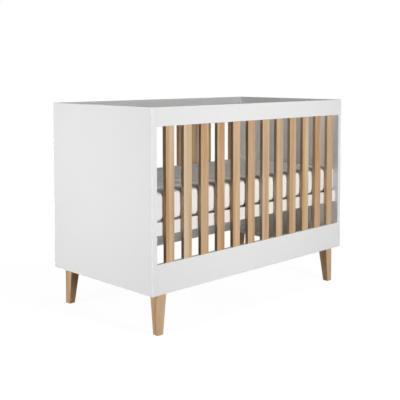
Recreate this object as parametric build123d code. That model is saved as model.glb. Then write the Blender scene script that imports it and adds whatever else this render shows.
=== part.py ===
from build123d import *
import os

# Baby crib: solid end panels, slatted sides, tapered legs, a base set at any height and a mattress.
# Sizes are in millimetres. X runs along the crib, its front faces -Y, and the floor is at Z = 0.

# Overall sizes
crib_length = 1266.0
crib_width = 673.0
crib_height = 917.0
leg_height = 172.0

# End panels
panel_thickness = 26.0
panel_corner_radius = 5.0
seam_radius = 0.8

# Side rails
rail_thickness = 18.0
top_rail_height = 76.0
bottom_rail_height = 123.0
rail_edge_radius = 1.5

# Side slats, tenoned into the rails
slat_count = 12
slat_width = 45.5
slat_depth = 17.5
slat_end_gap = 47.6
slat_edge_radius = 2.0
tenon_length = 14.0
tenon_shoulder = 5.0
mortise_clearance = 0.15
mortise_bottom_room = 1.0

# Concealed connectors that draw rails and leg boards to the end panels
cam_diameter = 15.0
cam_depth = 12.5
cam_setback = 24.0
cam_slot_width = 1.6
cam_slot_length = 9.0
cam_slot_depth = 2.0
cam_bolt_inset = 8.0
cam_bolt_diameter = 7.0
cam_bolt_thread = 6.0
cam_bolt_thread_length = 11.0
cam_bolt_overrun = 2.0
dowel_diameter = 8.0
dowel_in_panel = 14.0
dowel_in_board = 16.0
dowel_edge = 16.0

# Leg boards: they lie between the bottom rails at each end and carry the legs
leg_board_width = 97.0
leg_board_thickness = 20.0
leg_board_edge_radius = 1.5
leg_board_cam_offset = 130.0
leg_board_dowel_offset = 190.0

# Legs: outer faces plumb, inner faces tapered
leg_top_width = 48.0
leg_foot_width = 30.0
leg_panel_gap = 19.0
leg_rail_gap = 2.0
leg_edge_radius = 2.5
glide_diameter = 24.0
glide_thickness = 1.5
glide_pin_diameter = 4.0
glide_pin_length = 14.0
insert_diameter = 12.0
insert_length = 15.0
leg_bolt_diameter = 8.0
leg_bolt_in_leg = 40.0
leg_bolt_in_board = 17.0

# Mattress base
base_top_height = 457.5
base_rail_thickness = 24.0
base_rail_height = 54.0
base_edge_radius = 2.0
base_side_clearance = 1.0
base_end_clearance = 0.5
base_slat_count = 10
base_slat_width = 60.0
base_slat_thickness = 9.0
base_slat_seat = 14.0
base_slat_proud = 4.5
base_slat_end_room = 0.5
base_slat_edge_radius = 1.5
base_screw_diameter = 3.5
base_screw_head = 7.0
base_screw_length = 25.0
base_dowel_diameter = 8.0
base_dowel_in_rail = 15.0
base_dowel_in_end = 24.0
base_dowel_spacing = 24.0

# Height adjustment: slotted plates let into the end panels, sliding nuts and clamp bolts
height_travel = 146.0
plate_offset = 175.0
plate_width = 30.0
plate_thickness = 3.0
plate_end_length = 26.0
plate_screw_diameter = 3.5
plate_screw_head = 7.0
plate_screw_length = 18.0
clamp_bolt_diameter = 6.0
clamp_bolt_head = 11.0
clamp_bolt_head_height = 3.5
clamp_bolt_socket = 4.0
clamp_bolt_socket_depth = 2.0
clamp_bolt_overrun = 1.5
clamp_washer_diameter = 16.0
clamp_washer_thickness = 1.5
slide_nut_width = 13.0
slide_nut_length = 20.0
slide_nut_thickness = 5.0

# Mattress
mattress_end_gap = 3.0
mattress_side_gap = 1.5
mattress_thickness = 115.5
mattress_edge_radius = 20.0
mattress_corner_radius = 22.0
mattress_crown = 4.0
mattress_crown_inset = 25.0
mattress_crown_slope = 90.0
mattress_draw_in = 1.5
mattress_rest_gap = 0.3

# Clearances
fit_clearance = 0.1
let_in_clearance = 0.2
slide_clearance = 0.4
hole_end_room = 1.0
screw_head_angle_ratio = 0.5

# Places worked out from the sizes
half_length = crib_length / 2
half_width = crib_width / 2
inner_x = half_length - panel_thickness
inner_y = half_width - rail_thickness
rail_mid_y = half_width - rail_thickness / 2
bottom_rail_top = leg_height + bottom_rail_height
top_rail_bottom = crib_height - top_rail_height
slat_pitch = (2 * inner_x - 2 * slat_end_gap - slat_width) / (slat_count - 1)
slat_places = [-inner_x + slat_end_gap + slat_width / 2 + i * slat_pitch for i in range(slat_count)]
tenon_width = slat_width - 2 * tenon_shoulder
tenon_depth = slat_depth - 2 * tenon_shoulder

leg_x = -inner_x + leg_panel_gap
leg_y = -inner_y + leg_rail_gap
leg_axis = (leg_x + leg_top_width / 2, leg_y + leg_top_width / 2)
foot_axis = (leg_x + leg_foot_width / 2, leg_y + leg_foot_width / 2)
leg_board_x = -inner_x + leg_board_width
leg_board_top = leg_height + leg_board_thickness

base_x = inner_x - base_end_clearance
base_y = inner_y - base_side_clearance
base_bottom = base_top_height - base_rail_height
base_end_x = base_x - base_rail_thickness
base_inner_y = base_y - base_rail_thickness
base_slat_top = base_top_height + base_slat_proud
base_ledge = base_slat_top - base_slat_thickness
base_slat_gap = (2 * base_end_x - base_slat_count * base_slat_width) / (base_slat_count + 1)
base_slat_places = [
    -base_end_x + base_slat_gap + base_slat_width / 2 + i * (base_slat_width + base_slat_gap)
    for i in range(base_slat_count)
]
clamp_height = base_top_height - base_rail_height / 2

slot_width = clamp_bolt_diameter + 2 * slide_clearance
slot_half = height_travel + slot_width / 2
nut_channel_half = height_travel + slide_nut_length / 2 + slide_clearance
plate_half = nut_channel_half + plate_end_length
nut_face_x = inner_x + plate_thickness + slide_clearance
nut_back_x = nut_face_x + slide_nut_thickness
clamp_tip_x = nut_back_x + clamp_bolt_overrun
nut_channel_x = clamp_tip_x + slide_clearance

mattress_half_length = inner_x - mattress_end_gap
mattress_half_width = inner_y - mattress_side_gap
mattress_bottom = base_slat_top + mattress_rest_gap
mattress_top = mattress_bottom + mattress_thickness


def span(x0, x1, y0, y1, z0, z1):
    # Square-edged block between two corners
    size = Box(abs(x1 - x0), abs(y1 - y0), abs(z1 - z0))
    return Pos((x0 + x1) / 2, (y0 + y1) / 2, (z0 + z1) / 2) * size


def rod(start, way, diameter, length):
    # Round bar that starts at a point and runs along a direction
    base = Plane(origin=start, z_dir=way)
    return extrude(base * Circle(diameter / 2), amount=length)


def screw(start, way, head, shank, length, slack=0.0):
    # Countersunk screw: its flat head lies at the start; slack gives the hole for it
    top = head / 2 + slack
    neck = shank / 2 + slack
    head_depth = (head - shank) * screw_head_angle_ratio
    base = Plane(origin=start, z_dir=way)
    profile = Polyline(
        (0, 0), (top, 0), (neck, head_depth), (neck, length + slack), (0, length + slack), close=True
    )
    upright = Plane(origin=base.origin, x_dir=base.x_dir, z_dir=-base.y_dir)
    return revolve(upright * make_face(profile), axis=Axis(base.origin, base.z_dir))


def group(shapes):
    # Several loose solids under one name
    return Compound([solid for shape in shapes for solid in shape.solids()])


def to_back(shape):
    return mirror(shape, about=Plane.XZ)


def to_right(shape):
    return mirror(shape, about=Plane.YZ)


def to_corners(shape):
    # The front left piece and its three mirrored fellows
    return {
        "front_left": shape,
        "front_right": to_right(shape),
        "back_left": to_back(shape),
        "back_right": to_back(to_right(shape)),
    }


def round_edges(shape, axis, radius):
    return fillet(shape.edges().filter_by(axis), radius)


# Connectors at the front left: the bolt's and the dowels' places across the crib and up, the cam's seat
rail_spans = {"top": (top_rail_bottom, crib_height), "bottom": (leg_height, bottom_rail_top)}
cam_x = -inner_x + cam_setback
connectors = {}
for rail_name, (low, high) in rail_spans.items():
    middle = (low + high) / 2
    connectors[rail_name] = {
        "bolt": (-inner_y - cam_bolt_inset, middle),
        "seat": Plane(origin=(cam_x, -inner_y, middle), z_dir=(0, -1, 0)),
        "dowels": [(-rail_mid_y, low + dowel_edge), (-rail_mid_y, high - dowel_edge)],
    }
connectors["leg_board"] = {
    "bolt": (-leg_board_cam_offset, leg_height + cam_bolt_inset),
    "seat": Plane(origin=(cam_x, -leg_board_cam_offset, leg_height), z_dir=(0, 0, 1)),
    "dowels": [(-leg_board_dowel_offset, leg_height + leg_board_thickness / 2)],
}


def cam_bolt(place, slack=0.0):
    across, height = place
    start = (-inner_x - cam_bolt_thread_length - slack, across, height)
    thread = rod(start, (1, 0, 0), cam_bolt_thread + 2 * slack, cam_bolt_thread_length + slack)
    shaft_length = cam_setback + cam_bolt_overrun + slack
    shaft = rod((-inner_x, across, height), (1, 0, 0), cam_bolt_diameter + 2 * slack, shaft_length)
    return thread + shaft


def cam_lock(connector):
    seat = connector["seat"]
    disc = extrude(seat * Circle(cam_diameter / 2), amount=cam_depth)
    slots = [
        extrude(seat * Rectangle(cam_slot_length, cam_slot_width), amount=cam_slot_depth),
        extrude(seat * Rectangle(cam_slot_width, cam_slot_length), amount=cam_slot_depth),
    ]
    return disc - cam_bolt(connector["bolt"], fit_clearance) - slots


def cam_pocket(connector):
    circle = Circle(cam_diameter / 2 + fit_clearance)
    return extrude(connector["seat"] * circle, amount=cam_depth + let_in_clearance)


def panel_dowel(place, slack=0.0, room=0.0):
    across, height = place
    start = (-inner_x - dowel_in_panel - room, across, height)
    length = dowel_in_panel + dowel_in_board + 2 * room
    return rod(start, (1, 0, 0), dowel_diameter + 2 * slack, length)


def joint_holes(connector):
    # Holes for the bolt and the dowels in the end panel and in the board that meets it
    holes = [cam_bolt(connector["bolt"], fit_clearance)]
    for place in connector["dowels"]:
        holes.append(panel_dowel(place, fit_clearance, hole_end_room))
    return holes


# Side slats and rails


def slat_tenon(slack, room):
    # One upright tongue through the whole slat, as long as both tenons reach
    width = tenon_width + 2 * slack
    depth = tenon_depth + 2 * slack
    reach = tenon_length + room
    return span(-width / 2, width / 2, -rail_mid_y - depth / 2, -rail_mid_y + depth / 2,
                bottom_rail_top - reach, top_rail_bottom + reach)


def front_slat():
    stave = span(-slat_width / 2, slat_width / 2, -rail_mid_y - slat_depth / 2,
                 -rail_mid_y + slat_depth / 2, bottom_rail_top, top_rail_bottom)
    stave = round_edges(stave, Axis.Z, slat_edge_radius)
    return stave + slat_tenon(0.0, 0.0)


def front_rail(name):
    low, high = rail_spans[name]
    rail = span(-inner_x, inner_x, -half_width, -inner_y, low, high)
    rail = round_edges(rail, Axis.X, rail_edge_radius)
    mortise = slat_tenon(mortise_clearance, mortise_bottom_room)
    rail = rail - [Pos(x, 0, 0) * mortise for x in slat_places]
    left_holes = joint_holes(connectors[name]) + [cam_pocket(connectors[name])]
    return rail - left_holes - [to_right(hole) for hole in left_holes]


# Height adjustment on the left panel, at the front


def height_plate():
    plate = span(-inner_x - plate_thickness, -inner_x, -plate_offset - plate_width / 2,
                 -plate_offset + plate_width / 2, clamp_height - plate_half, clamp_height + plate_half)
    slot = span(-inner_x - plate_thickness, -inner_x, -plate_offset - slot_width / 2,
                -plate_offset + slot_width / 2, clamp_height - slot_half, clamp_height + slot_half)
    slot = round_edges(slot, Axis.X, slot_width / 2 - fit_clearance)
    return plate - slot - [plate_screw(side, fit_clearance) for side in (-1, 1)]


def plate_screw(side, slack=0.0):
    height = clamp_height + side * (plate_half - plate_end_length / 2)
    start = (-inner_x, -plate_offset, height)
    return screw(start, (-1, 0, 0), plate_screw_head, plate_screw_diameter, plate_screw_length, slack)


def plate_pocket():
    half = plate_width / 2 + let_in_clearance
    reach = plate_half + let_in_clearance
    seat = span(-inner_x - plate_thickness, -inner_x, -plate_offset - half, -plate_offset + half,
                clamp_height - reach, clamp_height + reach)
    nut_half = slide_nut_width / 2 + slide_clearance
    channel = span(-nut_channel_x, -inner_x - plate_thickness, -plate_offset - nut_half,
                   -plate_offset + nut_half, clamp_height - nut_channel_half,
                   clamp_height + nut_channel_half)
    return [seat, channel] + [plate_screw(side, fit_clearance) for side in (-1, 1)]


def slide_nut():
    nut = span(-nut_back_x, -nut_face_x, -plate_offset - slide_nut_width / 2,
               -plate_offset + slide_nut_width / 2, clamp_height - slide_nut_length / 2,
               clamp_height + slide_nut_length / 2)
    return nut - clamp_bolt_shank(fit_clearance)


clamp_seat_x = -base_end_x + clamp_washer_thickness


def clamp_bolt_shank(slack=0.0):
    start = (clamp_seat_x, -plate_offset, clamp_height)
    return rod(start, (-1, 0, 0), clamp_bolt_diameter + 2 * slack, clamp_tip_x + clamp_seat_x)


def clamp_bolt():
    start = (clamp_seat_x, -plate_offset, clamp_height)
    head = rod(start, (1, 0, 0), clamp_bolt_head, clamp_bolt_head_height)
    face = Plane(origin=(clamp_seat_x + clamp_bolt_head_height, -plate_offset, clamp_height),
                 z_dir=(-1, 0, 0))
    hexagon = RegularPolygon(clamp_bolt_socket / 2, 6, major_radius=False)
    return head + clamp_bolt_shank() - extrude(face * hexagon, amount=clamp_bolt_socket_depth)


def clamp_washer():
    start = (-base_end_x, -plate_offset, clamp_height)
    disc = rod(start, (1, 0, 0), clamp_washer_diameter, clamp_washer_thickness)
    return disc - clamp_bolt_shank(fit_clearance)


# End panels


def left_panel():
    panel = span(-half_length, -inner_x, -half_width, half_width, leg_height, crib_height)
    uprights = panel.edges().filter_by(Axis.Z).group_by(Axis.X)
    panel = fillet(uprights[0], panel_corner_radius)
    inner_edges = panel.edges().filter_by(Axis.Z).group_by(Axis.X)[-1]
    panel = fillet(inner_edges, seam_radius)
    rim = panel.edges().group_by(Axis.Z)[-1]
    panel = fillet(rim, seam_radius)
    front_cuts = plate_pocket()
    for connector in connectors.values():
        front_cuts += joint_holes(connector)
    return panel - front_cuts - [to_back(cut) for cut in front_cuts]


# Leg boards, legs and their fastenings


def left_leg_board():
    board = span(-inner_x, leg_board_x, -inner_y, inner_y, leg_height, leg_board_top)
    inner_arrises = board.edges().filter_by(Axis.Y).group_by(Axis.X)[-1]
    board = fillet(inner_arrises, leg_board_edge_radius)
    seat = rod((*leg_axis, leg_height), (0, 0, 1), insert_diameter + 2 * fit_clearance,
               insert_length + fit_clearance)
    front_cuts = [seat, leg_bolt(fit_clearance, hole_end_room), cam_pocket(connectors["leg_board"])]
    front_cuts += joint_holes(connectors["leg_board"])
    return board - front_cuts - [to_back(cut) for cut in front_cuts]


def front_left_leg():
    def taper(corner):
        return make_face(Polyline(
            (corner, glide_thickness), (corner + leg_foot_width, glide_thickness),
            (corner + leg_top_width, leg_height), (corner, leg_height), close=True
        ))

    along = extrude(Plane.XZ * taper(leg_x), amount=crib_width, both=True)
    across = extrude(Plane.YZ * taper(leg_y), amount=crib_length, both=True)
    leg = along & across
    arrises = leg.edges().filter_by(lambda edge: edge.bounding_box().size.Z > leg_height / 2)
    leg = fillet(arrises, leg_edge_radius)
    return leg - leg_bolt(fit_clearance, hole_end_room) - glide_pin(fit_clearance, hole_end_room)


def leg_bolt(slack=0.0, room=0.0):
    start = (*leg_axis, leg_height - leg_bolt_in_leg - room)
    length = leg_bolt_in_leg + leg_bolt_in_board + 2 * room
    return rod(start, (0, 0, 1), leg_bolt_diameter + 2 * slack, length)


def leg_insert():
    shell = rod((*leg_axis, leg_height), (0, 0, 1), insert_diameter, insert_length)
    return shell - leg_bolt(fit_clearance, hole_end_room)


def glide_pin(slack=0.0, room=0.0):
    start = (*foot_axis, glide_thickness)
    return rod(start, (0, 0, 1), glide_pin_diameter + 2 * slack, glide_pin_length + room)


def foot_glide():
    return rod((*foot_axis, 0), (0, 0, 1), glide_diameter, glide_thickness) + glide_pin()


# Mattress base


def base_dowel(side, slack=0.0, room=0.0):
    # Left front corner of the base frame
    middle = (base_x + base_end_x) / 2
    height = clamp_height + side * base_dowel_spacing / 2
    start = (-middle, -base_inner_y - base_dowel_in_rail - room, height)
    length = base_dowel_in_rail + base_dowel_in_end + 2 * room
    return rod(start, (0, 1, 0), base_dowel_diameter + 2 * slack, length)


def base_slat():
    reach = base_inner_y + base_slat_seat - base_slat_end_room
    slat = span(-base_slat_width / 2, base_slat_width / 2, -reach, reach, base_ledge, base_slat_top)
    top_sides = slat.edges().filter_by(Axis.Y).group_by(Axis.Z)[-1]
    slat = fillet(top_sides, base_slat_edge_radius)
    return slat - [base_screw(side, fit_clearance) for side in (-1, 1)]


def base_screw(side, slack=0.0):
    start = (0, side * (base_inner_y + base_slat_seat / 2), base_slat_top)
    return screw(start, (0, 0, -1), base_screw_head, base_screw_diameter, base_screw_length, slack)


def base_front_rail():
    rail = span(-base_x, base_x, -base_y, -base_inner_y, base_bottom, base_top_height)
    outer = rail.edges().filter_by(Axis.X).group_by(Axis.Y)[0]
    rail = fillet(outer, base_edge_radius)
    ledge = span(-base_end_x, base_end_x, -base_inner_y - base_slat_seat, -base_inner_y,
                 base_ledge, base_top_height)
    rail = rail - ledge - [Pos(x, 0, 0) * base_screw(-1, fit_clearance) for x in base_slat_places]
    holes = [base_dowel(side, fit_clearance, hole_end_room) for side in (-1, 1)]
    return rail - holes - [to_right(hole) for hole in holes]


def base_left_rail():
    rail = span(-base_x, -base_end_x, -base_inner_y, base_inner_y, base_bottom, base_top_height)
    front_holes = [base_dowel(side, fit_clearance, hole_end_room) for side in (-1, 1)]
    front_holes.append(clamp_bolt_shank(fit_clearance))
    return rail - front_holes - [to_back(hole) for hole in front_holes]


# Mattress: boxed border with rounded edges, sides drawn in between the corners, a low crown on top


def mattress_outline(inset, height):
    x = mattress_half_length - inset
    y = mattress_half_width - inset
    sag = mattress_draw_in
    sides = [
        ThreePointArc((-x, -y), (0, -y + sag), (x, -y)),
        ThreePointArc((x, -y), (x - sag, 0), (x, y)),
        ThreePointArc((x, y), (0, y - sag), (-x, y)),
        ThreePointArc((-x, y), (-x + sag, 0), (-x, -y)),
    ]
    face = make_face(sides)
    return Pos(0, 0, height) * fillet(face.vertices(), mattress_corner_radius)


def mattress():
    border = extrude(mattress_outline(0, mattress_bottom), amount=mattress_thickness)
    levels = border.edges().group_by(Axis.Z)
    border = fillet(levels[0] + levels[-1], mattress_edge_radius)
    # Shares of the slope's run and of the crown's rise
    crown_steps = [(0.0, 0.0), (0.4, 0.7), (1.0, 1.0)]
    crown_outlines = []
    for run_share, rise_share in crown_steps:
        inset = mattress_crown_inset + run_share * mattress_crown_slope
        crown_outlines.append(mattress_outline(inset, mattress_top + rise_share * mattress_crown))
    return border + loft(crown_outlines)


# The named pieces

parts = {}
parts["end_panel_left"] = left_panel()
parts["end_panel_right"] = to_right(parts["end_panel_left"])
for rail_name in rail_spans:
    parts[f"front_{rail_name}_rail"] = front_rail(rail_name)
    parts[f"back_{rail_name}_rail"] = to_back(parts[f"front_{rail_name}_rail"])
slat = front_slat()
for number, place in enumerate(slat_places, start=1):
    parts[f"front_slat_{number:02d}"] = Pos(place, 0, 0) * slat
    parts[f"back_slat_{number:02d}"] = to_back(Pos(place, 0, 0) * slat)
for corner, leg in to_corners(front_left_leg()).items():
    parts[f"leg_{corner}"] = leg
parts["leg_board_left"] = left_leg_board()
parts["leg_board_right"] = to_right(parts["leg_board_left"])

corner_fittings = {
    "foot_glides": [foot_glide()],
    "leg_bolts": [leg_bolt()],
    "leg_inserts": [leg_insert()],
    "cam_bolts": [cam_bolt(connector["bolt"]) for connector in connectors.values()],
    "cam_locks": [cam_lock(connector) for connector in connectors.values()],
    "panel_dowels": [panel_dowel(place) for connector in connectors.values() for place in connector["dowels"]],
    "height_plates": [height_plate()],
    "height_plate_screws": [plate_screw(side) for side in (-1, 1)],
    "slide_nuts": [slide_nut()],
    "clamp_bolts": [clamp_bolt()],
    "clamp_washers": [clamp_washer()],
    "base_dowels": [base_dowel(side) for side in (-1, 1)],
}
for name, pieces in corner_fittings.items():
    parts[name] = group(copy for piece in pieces for copy in to_corners(piece).values())

parts["base_front_rail"] = base_front_rail()
parts["base_back_rail"] = to_back(parts["base_front_rail"])
parts["base_left_rail"] = base_left_rail()
parts["base_right_rail"] = to_right(parts["base_left_rail"])
cross_slat = base_slat()
parts["base_slats"] = group(Pos(x, 0, 0) * cross_slat for x in base_slat_places)
parts["base_slat_screws"] = group(
    Pos(x, 0, 0) * base_screw(side) for x in base_slat_places for side in (-1, 1)
)
parts["mattress"] = mattress()

os.makedirs("parts", exist_ok=True)
for name, shape in parts.items():
    export_step(shape, f"parts/{name}.step")
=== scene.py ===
import math
import random

import bpy
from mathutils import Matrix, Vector, noise


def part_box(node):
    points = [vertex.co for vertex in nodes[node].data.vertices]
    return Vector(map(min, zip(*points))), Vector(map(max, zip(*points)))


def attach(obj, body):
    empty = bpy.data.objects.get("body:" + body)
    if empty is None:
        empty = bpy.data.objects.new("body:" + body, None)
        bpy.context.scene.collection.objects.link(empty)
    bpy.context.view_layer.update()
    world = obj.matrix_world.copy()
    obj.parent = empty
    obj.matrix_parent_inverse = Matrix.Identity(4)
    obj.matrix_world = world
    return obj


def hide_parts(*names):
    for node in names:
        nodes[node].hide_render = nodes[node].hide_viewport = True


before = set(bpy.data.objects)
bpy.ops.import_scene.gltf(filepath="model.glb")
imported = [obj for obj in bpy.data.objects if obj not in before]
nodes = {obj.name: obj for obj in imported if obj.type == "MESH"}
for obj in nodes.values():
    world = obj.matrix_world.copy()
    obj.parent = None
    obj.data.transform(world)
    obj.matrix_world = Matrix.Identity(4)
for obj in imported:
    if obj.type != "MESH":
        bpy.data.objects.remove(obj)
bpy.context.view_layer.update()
scene = bpy.context.scene
scene.view_settings.view_transform = "Standard"
print("frame loaded:", len(nodes), "CAD nodes")


def mm(value):
    return value / 1000.0


def linear(hexColour):
    # sRGB hex to linear RGBA
    parts = [int(hexColour[i:i + 2], 16) / 255 for i in (0, 2, 4)]
    return tuple(c / 12.92 if c <= 0.04045 else ((c + 0.055) / 1.055) ** 2.4 for c in parts) + (1.0,)


def addNode(tree, kind, settings=None, links=None):
    # settings: an input's name or number, or a property of the node; links: input to source output
    node = tree.nodes.new(kind)
    for key, value in (settings or {}).items():
        if isinstance(key, int) or key in node.inputs:
            node.inputs[key].default_value = value
        else:
            setattr(node, key, value)
    for key, source in (links or {}).items():
        tree.links.new(source, node.inputs[key])
    return node


# camera: eye a little above the crib's top, off its front left corner, tipped a few degrees down
cameraSpec = {
    "place": (-2.5617, -2.5438, 1.0471),
    "turn": -44.786,  # degrees about Z, 0 looks along +Y
    "tilt": 3.497,  # degrees below level
    "framePixels": 400,
    "focalPixels": 759.56,
    "axisPixel": 120.0,  # row that the lens axis meets
    "sensorMm": 36.0,
}
camera = bpy.data.objects.new("camera", bpy.data.cameras.new("camera"))
scene.collection.objects.link(camera)
camera.location = cameraSpec["place"]
camera.rotation_euler = (math.radians(90 - cameraSpec["tilt"]), 0, math.radians(cameraSpec["turn"]))
framePixels = cameraSpec["framePixels"]
camera.data.sensor_width = cameraSpec["sensorMm"]
camera.data.lens = cameraSpec["focalPixels"] / framePixels * cameraSpec["sensorMm"]
camera.data.shift_y = (cameraSpec["axisPixel"] - framePixels / 2) / framePixels
scene.camera = camera
print("camera set")


# soft boxes: a low key square on to the front, one on the left end,
# two low ones for the far sides and a weak one overhead
softBoxes = {
    "frontBox": {"place": (-0.1, -3.1, 0.88), "aim": (-0.1, -0.3, 0.6),
                 "size": (0.7, 0.95), "watts": 66.5},
    "leftBox": {"place": (-2.9, 0.18, 0.75), "aim": (0, 0.1, 0.55),
                "size": (1.2, 1.15), "watts": 47.5},
    "rightBox": {"place": (2.9, 0.1, 0.6), "aim": (0, 0, 0.5),
                 "size": (1.2, 0.8), "watts": 40},
    "backBox": {"place": (0.1, 2.7, 0.32), "aim": (0, 0, 0.3),
                "size": (1.4, 0.55), "watts": 36},
    "topBox": {"place": (0, -0.7, 3.2), "aim": (0, -0.2, 0.5),
               "size": (1.6, 0.35), "watts": 13},
}
for name, box in softBoxes.items():
    lamp = bpy.data.lights.new(name, "AREA")
    lamp.shape = "RECTANGLE"
    lamp.size, lamp.size_y = box["size"]
    lamp.energy = box["watts"]
    lampObject = bpy.data.objects.new(name, lamp)
    lampObject.location = box["place"]
    beam = Vector(box["aim"]) - Vector(box["place"])
    lampObject.rotation_euler = beam.to_track_quat("-Z", "Y").to_euler()
    lampObject.visible_camera = False
    scene.collection.objects.link(lampObject)


def seenByEye(tree):
    # 1 for what the camera sees, straight on or by way of gloss and glass, 0 for what lights the crib
    path = addNode(tree, "ShaderNodeLightPath")
    eyeOrGloss = addNode(tree, "ShaderNodeMath", {"operation": "MAXIMUM"},
                         {0: path.outputs["Is Camera Ray"], 1: path.outputs["Is Glossy Ray"]})
    return addNode(tree, "ShaderNodeMath", {"operation": "MAXIMUM"},
                   {0: eyeOrGloss.outputs[0], 1: path.outputs["Is Transmission Ray"]})


# world: white for the eye and for gloss, a dim even fill for everything else
worldSpec = {"fill": 0.004, "white": 1.0}
world = bpy.data.worlds.new("studio")
scene.world = world
world.use_nodes = True
tree = world.node_tree
tree.nodes.clear()
strength = addNode(tree, "ShaderNodeMapRange",
                   {"To Min": worldSpec["fill"], "To Max": worldSpec["white"]},
                   {"Value": seenByEye(tree).outputs[0]})
backdrop = addNode(tree, "ShaderNodeBackground", {"Color": (1, 1, 1, 1)},
                   {"Strength": strength.outputs[0]})
addNode(tree, "ShaderNodeOutputWorld", None, {"Surface": backdrop.outputs[0]})

# floor: a pale paper sweep; the eye gets a near-white glow with a little of the real light added,
# so the paper is white but for a faint shadow round the feet
floorSpec = {
    "halfSide": 14.0,
    "paper": "7e7e7c",
    "lightShare": "5c5c5c",
    "nearLevel": 0.94,
    "farLevel": 1.0,
    "nearTo": 1.3,
    "farFrom": 2.6,
}
floorMesh = bpy.data.meshes.new("paperFloor")
floorCorners = [(x * floorSpec["halfSide"], y * floorSpec["halfSide"], 0)
                for x, y in ((-1, -1), (1, -1), (1, 1), (-1, 1))]
floorMesh.from_pydata(floorCorners, [], [(0, 1, 2, 3)])
floor = bpy.data.objects.new("paperFloor", floorMesh)
scene.collection.objects.link(floor)
floorMaterial = bpy.data.materials.new("studio paper")
floorMaterial.use_nodes = True
tree = floorMaterial.node_tree
tree.nodes.clear()
paper = addNode(tree, "ShaderNodeBsdfDiffuse", {"Color": linear(floorSpec["paper"])})
place = addNode(tree, "ShaderNodeNewGeometry")
reach = addNode(tree, "ShaderNodeVectorMath", {"operation": "LENGTH"}, {0: place.outputs["Position"]})
level = addNode(tree, "ShaderNodeMapRange",
                {"From Min": floorSpec["nearTo"], "From Max": floorSpec["farFrom"],
                 "To Min": floorSpec["nearLevel"], "To Max": floorSpec["farLevel"]},
                {"Value": reach.outputs["Value"]})
glow = addNode(tree, "ShaderNodeEmission", {"Color": (1, 1, 1, 1)}, {"Strength": level.outputs[0]})
lit = addNode(tree, "ShaderNodeBsdfDiffuse", {"Color": linear(floorSpec["lightShare"])})
forEye = addNode(tree, "ShaderNodeAddShader", None, {0: glow.outputs[0], 1: lit.outputs[0]})
sweep = addNode(tree, "ShaderNodeMixShader", None,
                {0: seenByEye(tree).outputs[0], 1: paper.outputs[0], 2: forEye.outputs[0]})
addNode(tree, "ShaderNodeOutputMaterial", None, {"Surface": sweep.outputs[0]})
floorMesh.materials.append(floorMaterial)
print("studio lit")


def newMaterial(name, **settings):
    # settings: the shader's inputs, with _ for a space
    material = bpy.data.materials.new(name)
    material.use_nodes = True
    shader = material.node_tree.nodes["Principled BSDF"]
    for key, value in settings.items():
        shader.inputs[key.replace("_", " ")].default_value = value
    return material, material.node_tree, shader


def paint(names, material):
    for name in names:
        mesh = nodes[name].data
        mesh.materials.clear()
        mesh.materials.append(material)


def cloudTint(tree, shader, spec):
    # soft clouds of two close colours, and of gloss where the material gives a range
    place = addNode(tree, "ShaderNodeTexCoord").outputs["Object"]
    clouds = addNode(tree, "ShaderNodeTexNoise",
                     {"Scale": 1 / mm(spec["cloudMm"]), "Detail": spec["cloudDetail"]},
                     {"Vector": place})
    tint = addNode(tree, "ShaderNodeMix",
                   {"data_type": "RGBA", 6: linear(spec["colour"]), 7: linear(spec["shade"])},
                   {0: clouds.outputs["Fac"]})
    tree.links.new(tint.outputs[2], shader.inputs["Base Color"])
    if "roughnessRange" in spec:
        smoothest, roughest = spec["roughnessRange"]
        gloss = addNode(tree, "ShaderNodeMapRange", {"To Min": smoothest, "To Max": roughest},
                        {"Value": clouds.outputs["Fac"]})
        tree.links.new(gloss.outputs[0], shader.inputs["Roughness"])


def pebbleSurface(tree, shader, spec):
    # fine soft bumps all over, as a sprayed coat has
    place = addNode(tree, "ShaderNodeTexCoord").outputs["Object"]
    pebbles = addNode(tree, "ShaderNodeTexNoise",
                      {"Scale": 1 / mm(spec["pebbleMm"]), "Detail": spec["pebbleDetail"]},
                      {"Vector": place})
    bump = addNode(tree, "ShaderNodeBump",
                   {"Strength": spec["pebbleStrength"], "Distance": mm(spec["pebbleDepthMm"])},
                   {"Height": pebbles.outputs["Fac"]})
    tree.links.new(bump.outputs[0], shader.inputs["Normal"])


# white polyurethane lacquer, sprayed on board: satin, a faint orange peel, hardly any colour drift
lacquerSpec = {
    "colour": "f0f0f0",
    "shade": "ebebeb",
    "ior": 1.48,
    "specular": 0.35,
    "roughnessRange": (0.44, 0.56),
    "cloudMm": 260.0,
    "cloudDetail": 3.0,
    "pebbleMm": 2.4,
    "pebbleDetail": 2.0,
    "pebbleStrength": 0.06,
    "pebbleDepthMm": 0.12,
}
lacquer, tree, shader = newMaterial("white satin lacquer", IOR=lacquerSpec["ior"],
                                    Specular_IOR_Level=lacquerSpec["specular"])
cloudTint(tree, shader, lacquerSpec)
pebbleSurface(tree, shader, lacquerSpec)
paint(["end_panel_left", "end_panel_right", "front_top_rail", "front_bottom_rail", "back_top_rail",
       "back_bottom_rail", "leg_board_left", "leg_board_right", "base_front_rail", "base_back_rail",
       "base_left_rail", "base_right_rail"], lacquer)

waveStep = 0.314  # spacing of a wave texture's bands at scale 1

# planed wood in general: how streaks, growth lines, pores and cut ends are drawn
grainSpec = {
    "ior": 1.45,
    "streakDetail": 3.0,
    "streakWander": 0.3,
    "ringSqueeze": 0.6,  # growth lines run longer than the streaks
    "ringWander": 7.0,
    "ringDetail": 2.0,
    "ringDetailScale": 0.7,
    "ringDetailRoughness": 0.6,
    "poreDetail": 2.0,
    "poreMask": (0.58, 0.70),
    "poreBump": 0.25,
    "poreBumpMm": 0.15,
    "colourStops": {"dark": 0.22, "middle": 0.52, "light": 0.80},
    "endMask": (0.80, 0.95),
    "smoother": 0.06,
    "rougher": 0.08,
}


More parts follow.
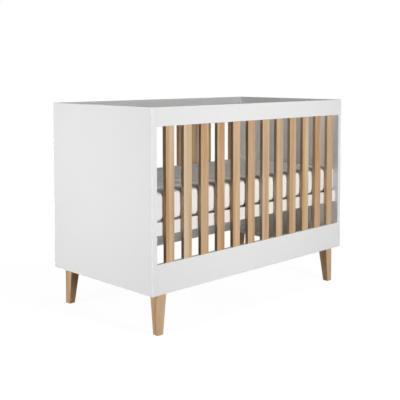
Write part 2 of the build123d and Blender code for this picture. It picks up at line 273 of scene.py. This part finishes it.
def makeWood(name, spec):
    # long streaks and growth lines along the grain, short dark pores, each piece cut from another place
    material, tree, shader = newMaterial(name, IOR=grainSpec["ior"], Specular_IOR_Level=spec["gloss"])
    place = addNode(tree, "ShaderNodeTexCoord")
    cut, tone = [
        addNode(tree, "ShaderNodeAttribute", {"attribute_type": "OBJECT", "attribute_name": attribute})
        for attribute in ("grainCut", "grainTone")
    ]
    moved = addNode(tree, "ShaderNodeVectorMath", {"operation": "ADD"},
                    {0: place.outputs["Object"], 1: cut.outputs["Vector"]})
    grainPlace, ringPlace = [
        addNode(tree, "ShaderNodeMapping",
                {"Scale": [squeeze if letter == spec["along"] else 1.0 for letter in "xyz"]},
                {"Vector": moved.outputs[0]})
        for squeeze in (spec["squeeze"], spec["squeeze"] * grainSpec["ringSqueeze"])
    ]
    streak = addNode(tree, "ShaderNodeTexNoise",
                     {"Scale": 1 / mm(spec["streakMm"]), "Detail": grainSpec["streakDetail"],
                      "Distortion": grainSpec["streakWander"]},
                     {"Vector": grainPlace.outputs[0]})
    ring = addNode(tree, "ShaderNodeTexWave",
                   {"bands_direction": "Y" if spec["along"] == "x" else "X",
                    "Scale": waveStep / mm(spec["ringMm"]), "Distortion": grainSpec["ringWander"],
                    "Detail": grainSpec["ringDetail"], "Detail Scale": grainSpec["ringDetailScale"],
                    "Detail Roughness": grainSpec["ringDetailRoughness"]},
                   {"Vector": ringPlace.outputs[0]})
    mixed = addNode(tree, "ShaderNodeMix", {"data_type": "FLOAT", 0: spec["ringShare"]},
                    {2: streak.outputs["Fac"], 3: ring.outputs["Fac"]})
    shifted = addNode(tree, "ShaderNodeMath", {"operation": "ADD"},
                      {0: mixed.outputs[0], 1: tone.outputs["Fac"]})
    ramp = addNode(tree, "ShaderNodeValToRGB", None, {"Fac": shifted.outputs[0]})
    stops = ramp.color_ramp.elements
    stops.new(grainSpec["colourStops"]["middle"])
    for stop, (colour, position) in zip(stops, grainSpec["colourStops"].items()):
        stop.position = position
        stop.color = linear(spec[colour])
    pore = addNode(tree, "ShaderNodeTexNoise",
                   {"Scale": 1 / mm(spec["poreMm"]), "Detail": grainSpec["poreDetail"]},
                   {"Vector": grainPlace.outputs[0]})
    poreFrom, poreFull = grainSpec["poreMask"]
    poreMask = addNode(tree, "ShaderNodeMapRange",
                       {"From Min": poreFrom, "From Max": poreFull, "To Max": spec["poreDepth"]},
                       {"Value": pore.outputs["Fac"]})
    faces = addNode(tree, "ShaderNodeMix",
                    {"data_type": "RGBA", "blend_type": "MULTIPLY", 7: linear(spec["pore"])},
                    {0: poreMask.outputs[0], 6: ramp.outputs[0]})
    # cut ends drink in light, so they show darker than the faces; on the birch the ends are pushed near
    # black as painted shade, standing in for the shadow in the slot under the mattress
    turned = addNode(tree, "ShaderNodeSeparateXYZ", None, {0: place.outputs["Normal"]})
    endOn = addNode(tree, "ShaderNodeMath", {"operation": "ABSOLUTE"},
                    {0: turned.outputs[spec["along"].upper()]})
    endFrom, endFull = grainSpec["endMask"]
    endMask = addNode(tree, "ShaderNodeMapRange", {"From Min": endFrom, "From Max": endFull},
                      {"Value": endOn.outputs[0]})
    grainEndsAndShade = addNode(tree, "ShaderNodeMix",
                      {"data_type": "RGBA", "blend_type": "MULTIPLY", 7: linear(spec["end"])},
                      {0: endMask.outputs[0], 6: faces.outputs[2]})
    tree.links.new(grainEndsAndShade.outputs[2], shader.inputs["Base Color"])
    rough = addNode(tree, "ShaderNodeMapRange",
                    {"To Min": spec["roughness"] - grainSpec["smoother"],
                     "To Max": spec["roughness"] + grainSpec["rougher"]},
                    {"Value": streak.outputs["Fac"]})
    tree.links.new(rough.outputs[0], shader.inputs["Roughness"])
    bump = addNode(tree, "ShaderNodeBump",
                   {"Strength": grainSpec["poreBump"], "Distance": mm(grainSpec["poreBumpMm"]),
                    "invert": True},
                   {"Height": pore.outputs["Fac"]})
    tree.links.new(bump.outputs[0], shader.inputs["Normal"])
    return material


# beech, planed and oiled: warm tan, straight grain; its pores are 0.2 mm, drawn at 2 mm so that they show
beechSpec = {
    "along": "z",
    "squeeze": 0.055,  # scale of the pattern along the grain
    "streakMm": 22.0,
    "ringMm": 60.0,
    "ringShare": 0.14,
    "poreMm": 2.0,
    "poreDepth": 0.2,
    "dark": "ba8e62",
    "middle": "cfaf8b",
    "light": "dec6a6",
    "pore": "b1845c",
    "end": "9a7a58",
    "roughness": 0.6,
    "gloss": 0.12,
}
beech = makeWood("oiled beech", beechSpec)

# raw birch, sanded: pale, dull, fine grain; its pores are 0.1 mm, drawn at 1.6 mm so that they show
birchSpec = {
    "squeeze": 0.05,
    "streakMm": 7.0,
    "ringMm": 18.0,
    "ringShare": 0.3,
    "poreMm": 1.6,
    "poreDepth": 0.2,
    "dark": "c9a878",
    "middle": "dac094",
    "light": "e6d3ae",
    "pore": "b08b5c",
    # painted shade: near black, much darker than real birch end grain, for the shadowed slot between the
    # base and the mattress
    "end": "5a4a3c",
    "roughness": 0.62,
    "gloss": 0.25,
}
birch = {axis: makeWood("sanded birch along " + axis, dict(birchSpec, along=axis)) for axis in "xy"}

# each wooden piece comes from another spot of the tree; the second slat from the left is a paler board
boardSpec = {
    "slatsPerSide": 12,
    "seed": 11,
    "spotReach": 3.0,
    "toneSpread": 0.07,
    "palerBoard": "front_slat_02",
    "palerTone": 0.15,
}
slatNumbers = range(1, boardSpec["slatsPerSide"] + 1)
slatNodes = [f"{side}_slat_{number:02d}" for side in ("front", "back") for number in slatNumbers]
legNodes = ["leg_front_left", "leg_front_right", "leg_back_left", "leg_back_right"]
paint(slatNodes + legNodes, beech)
paint(["panel_dowels"], birch["x"])
paint(["base_slats", "base_dowels"], birch["y"])
dice = random.Random(boardSpec["seed"])
spotReach, toneSpread = boardSpec["spotReach"], boardSpec["toneSpread"]
for name in slatNodes + legNodes + ["base_slats", "panel_dowels", "base_dowels"]:
    nodes[name]["grainCut"] = [dice.uniform(-spotReach, spotReach) for axis in "xyz"]
    nodes[name]["grainTone"] = dice.uniform(-toneSpread, toneSpread)
nodes[boardSpec["palerBoard"]]["grainTone"] = boardSpec["palerTone"]

# zinc-plated steel: pale grey metal with a soft blotch from the bath
zincSpec = {
    "colour": "c4c6c8",
    "shade": "a3a5a6",
    "roughnessRange": (0.26, 0.46),
    "cloudMm": 6.0,
    "cloudDetail": 4.0,
}
zinc, tree, shader = newMaterial("zinc plated steel", Metallic=1.0)
cloudTint(tree, shader, zincSpec)
paint(["cam_bolts", "cam_locks", "leg_bolts", "leg_inserts", "height_plate_screws",
       "base_slat_screws", "clamp_bolts", "clamp_washers", "slide_nuts"], zinc)

# white powder coat, baked on steel: semi-matt, a fine grit of 0.3 mm, drawn at 1.2 mm so that it shows
powderSpec = {
    "colour": "ebebe9",
    "shade": "e2e2df",
    "ior": 1.5,
    "roughness": 0.5,
    "cloudMm": 30.0,
    "cloudDetail": 3.0,
    "pebbleMm": 1.2,
    "pebbleDetail": 2.0,
    "pebbleStrength": 0.2,
    "pebbleDepthMm": 0.1,
}
powder, tree, shader = newMaterial("white powder coat", IOR=powderSpec["ior"],
                                   Roughness=powderSpec["roughness"])
cloudTint(tree, shader, powderSpec)
pebbleSurface(tree, shader, powderSpec)
paint(["height_plates"], powder)

# nylon, moulded: dull warm grey, slightly mottled underfoot
nylonSpec = {
    "colour": "b9b2a8",
    "shade": "9d968c",
    "ior": 1.53,
    "roughness": 0.55,
    "cloudMm": 5.0,
    "cloudDetail": 4.0,
}
nylon, tree, shader = newMaterial("moulded nylon", IOR=nylonSpec["ior"], Roughness=nylonSpec["roughness"])
cloudTint(tree, shader, nylonSpec)
paint(["foot_glides"], nylon)
print("hard materials done")

# cotton, plain woven: white, matt, a soft sheen; threads are 0.5 mm, drawn at 3 mm so that they show
cottonSpec = {
    "colour": "f4f4f4",
    "shade": "ececed",
    "ior": 1.46,
    "specular": 0.1,
    "roughness": 0.85,
    "sheen": 0.08,
    "cloudMm": 120.0,
    "cloudDetail": 4.0,
    "threadMm": 3.0,
    "threadWander": 0.6,
    "weaveStrength": 0.25,
    "weaveDepthMm": 0.25,
}
cotton, tree, shader = newMaterial("white woven cotton", IOR=cottonSpec["ior"],
                                   Specular_IOR_Level=cottonSpec["specular"],
                                   Roughness=cottonSpec["roughness"], Sheen_Weight=cottonSpec["sheen"])
cloudTint(tree, shader, cottonSpec)
place = addNode(tree, "ShaderNodeTexCoord")
threads = [addNode(tree, "ShaderNodeTexWave",
                   {"bands_direction": axis, "Scale": waveStep / mm(cottonSpec["threadMm"]),
                    "Distortion": cottonSpec["threadWander"]},
                   {"Vector": place.outputs["Object"]}).outputs["Fac"] for axis in "XYZ"]
crossing = addNode(tree, "ShaderNodeMath", {"operation": "ADD"}, {0: threads[0], 1: threads[1]})
weave = addNode(tree, "ShaderNodeMath", {"operation": "ADD"}, {0: crossing.outputs[0], 1: threads[2]})
weaveBump = addNode(tree, "ShaderNodeBump",
                    {"Strength": cottonSpec["weaveStrength"], "Distance": mm(cottonSpec["weaveDepthMm"])},
                    {"Height": weave.outputs[0]})
tree.links.new(weaveBump.outputs[0], shader.inputs["Normal"])

# mattress: foam in a boxed cotton cover, a thin corded seam round the top and the bottom edge
mattressSpec = {
    "shyMm": 0.5,  # the cover starts this much inside the CAD solid
    "liftMm": 0.2,  # underside above the solid's
    "cornerMm": 12.0,
    "leastCornerMm": 1.5,
    "edgeMm": 20.0,
    "edgeAngles": (0, 14, 25, 36, 45, 54, 65, 78, 90),
    "cordMm": 0.5,
    "cordShares": {25: -0.4, 36: 0.3, 45: 1.0, 54: 0.3, 65: -0.4},  # by the edge's angle
    "sewnShare": 0.6,  # where more of the cord stands out, the cover is held
    "rimDropMm": 5.0,
    "crownMm": 2.3,
    "crownPowers": (13, 7),  # along, across: how near the rim the crown falls away
    "drawInMm": 1.2,
    "stepMm": 14.0,
    "sideSteps": 8,
    "arcSteps": 4,
    "restingMm": 1.0,  # and this near the underside too
    "pressure": 4.0,
    "frames": (1, 20),
    "topCapMm": 2.5,
    "sideCapMm": 0.4,
    "lyingFrom": 0.7,  # steepness of the normals on the top and the underside
    "puckerMm": 0.3,
    "puckerEveryMm": 30.0,
    "puckerReachMm": 26.0,
    "uprightUpTo": 0.5,  # and on the border
}


def ringPoints(halfX, halfY, radius, along, across, arcSteps):
    # round a rounded rectangle, counterclockwise from the front side's left end
    signs = ((-1, -1), (1, -1), (1, 1), (-1, 1))
    centres = [Vector((sx * (halfX - radius), sy * (halfY - radius))) for sx, sy in signs]
    points = []
    for side, turn in enumerate((-90, 0, 90, 180)):
        count = along if side % 2 == 0 else across
        before, after = centres[side], centres[(side + 1) % 4]
        out = radius * Vector((math.cos(math.radians(turn)), math.sin(math.radians(turn))))
        for i in range(count):
            points.append(before.lerp(after, i / count) + out)
        for i in range(arcSteps):
            angle = math.radians(turn + 90 * i / arcSteps)
            points.append(after + radius * Vector((math.cos(angle), math.sin(angle))))
    return points


def edgeProfile(low, high, spec):
    # inset, height, outward and upward share of the cord, from the bottom panel's rim to the top one's
    edge = mm(spec["edgeMm"])
    lower = []
    for angle in spec["edgeAngles"]:
        turn = math.radians(angle)
        bulge = spec["cordShares"].get(angle, 0.0)
        lower.append((edge * (1 - math.sin(turn)), low + edge * (1 - math.cos(turn)),
                      bulge * math.sin(turn), -bulge * math.cos(turn)))
    side = high - low - 2 * edge
    steps = spec["sideSteps"]
    middle = [(0.0, low + edge + side * i / steps, 0.0, 0.0) for i in range(1, steps)]
    upper = [(inset, low + high - height, out, -up) for inset, height, out, up in reversed(lower)]
    return lower + middle + upper


def fillPanel(verts, faces, rim, rows, columns, facesUp):
    # Coons patch over a rim whose four corners are the middles of its corner arcs
    front = rim[:columns + 1]
    right = rim[columns:columns + rows + 1]
    back = rim[columns + rows:2 * columns + rows + 1][::-1]
    left = (rim[2 * columns + rows:] + rim[:1])[::-1]
    grid = [front]
    for j in range(1, rows):
        v = j / rows
        line = [left[j]]
        for i in range(1, columns):
            u = i / columns
            edgeMix = (verts[front[i]] * (1 - v) + verts[back[i]] * v
                       + verts[left[j]] * (1 - u) + verts[right[j]] * u)
            cornerMix = (verts[front[0]] * (1 - u) * (1 - v) + verts[front[-1]] * u * (1 - v)
                         + verts[back[0]] * (1 - u) * v + verts[back[-1]] * u * v)
            line.append(len(verts))
            verts.append(edgeMix - cornerMix)
        grid.append(line + [right[j]])
    grid.append(back)
    for j in range(rows):
        for i in range(columns):
            quad = (grid[j][i], grid[j][i + 1], grid[j + 1][i + 1], grid[j + 1][i])
            faces.append(quad if facesUp else quad[::-1])


def mattressShape(spec):
    low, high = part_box("mattress")
    shy, cord, corner = mm(spec["shyMm"]), mm(spec["cordMm"]), mm(spec["cornerMm"])
    halfX, halfY = high[0] - shy, high[1] - shy
    bottom = low[2] + mm(spec["liftMm"])
    rimTop = high[2] - mm(spec["rimDropMm"]) - shy
    along = round(2 * (halfX - corner) / mm(spec["stepMm"]))
    across = round(2 * (halfY - corner) / mm(spec["stepMm"]))
    verts, faces, sewn = [], [], []
    profile = edgeProfile(bottom, rimTop, spec)
    for inset, height, out, up in profile:
        grow = cord * out - inset
        radius = max(corner + grow, mm(spec["leastCornerMm"]))
        ring = ringPoints(halfX + grow, halfY + grow, radius, along, across, spec["arcSteps"])
        if out > spec["sewnShare"]:
            sewn.extend(range(len(verts), len(verts) + len(ring)))
        verts.extend(Vector((x, y, height + cord * up)) for x, y in ring)
    count = len(verts) // len(profile)
    for row in range(len(profile) - 1):
        here, above = row * count, (row + 1) * count
        for i in range(count):
            j = (i + 1) % count
            faces.append((here + i, here + j, above + j, above + i))
    # start each rim at the middle of the last corner's arc
    start = count - spec["arcSteps"] // 2
    columns, rows = along + spec["arcSteps"], across + spec["arcSteps"]
    bottomRim, topRim = [[row * count + (start + i) % count for i in range(count)]
                         for row in (0, len(profile) - 1)]
    fillPanel(verts, faces, bottomRim, rows, columns, False)
    firstTop = len(verts)
    fillPanel(verts, faces, topRim, rows, columns, True)
    # the top is crowned, and the sides draw in between the corners
    powerX, powerY = spec["crownPowers"]
    crown, drawIn = mm(spec["crownMm"]), mm(spec["drawInMm"])
    for i, v in enumerate(verts):
        if i >= firstTop:
            v.z += crown * (1 - abs(v.x / halfX) ** powerX) * (1 - abs(v.y / halfY) ** powerY)
        v.x, v.y = (v.x * (1 - drawIn / halfX * (1 - (v.y / halfY) ** 2)),
                    v.y * (1 - drawIn / halfY * (1 - (v.x / halfX) ** 2)))
    resting = [i for i, v in enumerate(verts) if v.z < bottom + mm(spec["restingMm"])]
    return verts, faces, sewn + resting


def swellCover(piece, held, spec):
    # the cover fills out under a little pressure, held along its seams and where it rests
    group = piece.vertex_groups.new(name="held")
    group.add(held, 1.0, "REPLACE")
    cloth = piece.modifiers.new("cloth", "CLOTH")
    cloth.settings.vertex_group_mass = group.name
    cloth.settings.use_pressure = True
    cloth.settings.uniform_pressure_force = spec["pressure"]
    cloth.settings.effector_weights.gravity = 0.0
    cloth.collision_settings.use_collision = False
    first, last = spec["frames"]
    cloth.point_cache.frame_start = first
    cloth.point_cache.frame_end = last
    for frameNumber in range(first, last + 1):
        scene.frame_set(frameNumber)
    swollen = piece.evaluated_get(bpy.context.evaluated_depsgraph_get()).data
    moves = [new.co - old.co for new, old in zip(swollen.vertices, piece.data.vertices)]
    lies = [abs(vert.normal.z) > spec["lyingFrom"] for vert in piece.data.vertices]
    print("cover moved at most", round(max(move.length for move in moves) * 1000, 1), "mm before the cap")
    piece.modifiers.remove(cloth)
    piece.vertex_groups.remove(group)
    scene.frame_set(first)
    for vert, move, flat in zip(piece.data.vertices, moves, lies):
        cap = mm(spec["topCapMm"] if flat else spec["sideCapMm"])
        if move.length > 0:
            vert.co += move * (cap * math.tanh(move.length / cap) / move.length)


def puckerSeams(piece, seamHeights, spec):
    # the border gathers a little beside the cords
    ways = [vert.normal.copy() for vert in piece.data.vertices]
    for vert, way in zip(piece.data.vertices, ways):
        reach = min(abs(vert.co.z - height) for height in seamHeights) / mm(spec["puckerReachMm"])
        if reach < 1 and abs(way.z) < spec["uprightUpTo"]:
            spot = Vector((vert.co.x, vert.co.y, 0)) / mm(spec["puckerEveryMm"])
            vert.co += way * mm(spec["puckerMm"]) * noise.noise(spot) * math.sin(math.pi * reach)


coverVerts, coverFaces, coverHeld = mattressShape(mattressSpec)
coverMesh = bpy.data.meshes.new("mattressCover")
coverMesh.from_pydata(coverVerts, [], coverFaces)
mattress = bpy.data.objects.new("mattressCover", coverMesh)
scene.collection.objects.link(mattress)
swellCover(mattress, coverHeld, mattressSpec)
subdivision = mattress.modifiers.new("subdivision", "SUBSURF")
subdivision.levels = 1
smoothed = mattress.evaluated_get(bpy.context.evaluated_depsgraph_get())
mattress.data = bpy.data.meshes.new_from_object(smoothed)
mattress.modifiers.clear()
# the cords run halfway round the rounded edges
heights = [vert.co.z for vert in mattress.data.vertices]
seamDrop = mm(mattressSpec["edgeMm"]) * (1 - math.cos(math.radians(45)))
lowSeam = min(heights) + seamDrop
highSeam = max(heights) - mm(mattressSpec["rimDropMm"]) - seamDrop
puckerSeams(mattress, (lowSeam, highSeam), mattressSpec)
mattress.data.shade_smooth()
mattress.data.materials.append(cotton)
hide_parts("mattress")
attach(mattress, "mattress")
print("mattress done:", len(mattress.data.vertices), "points")
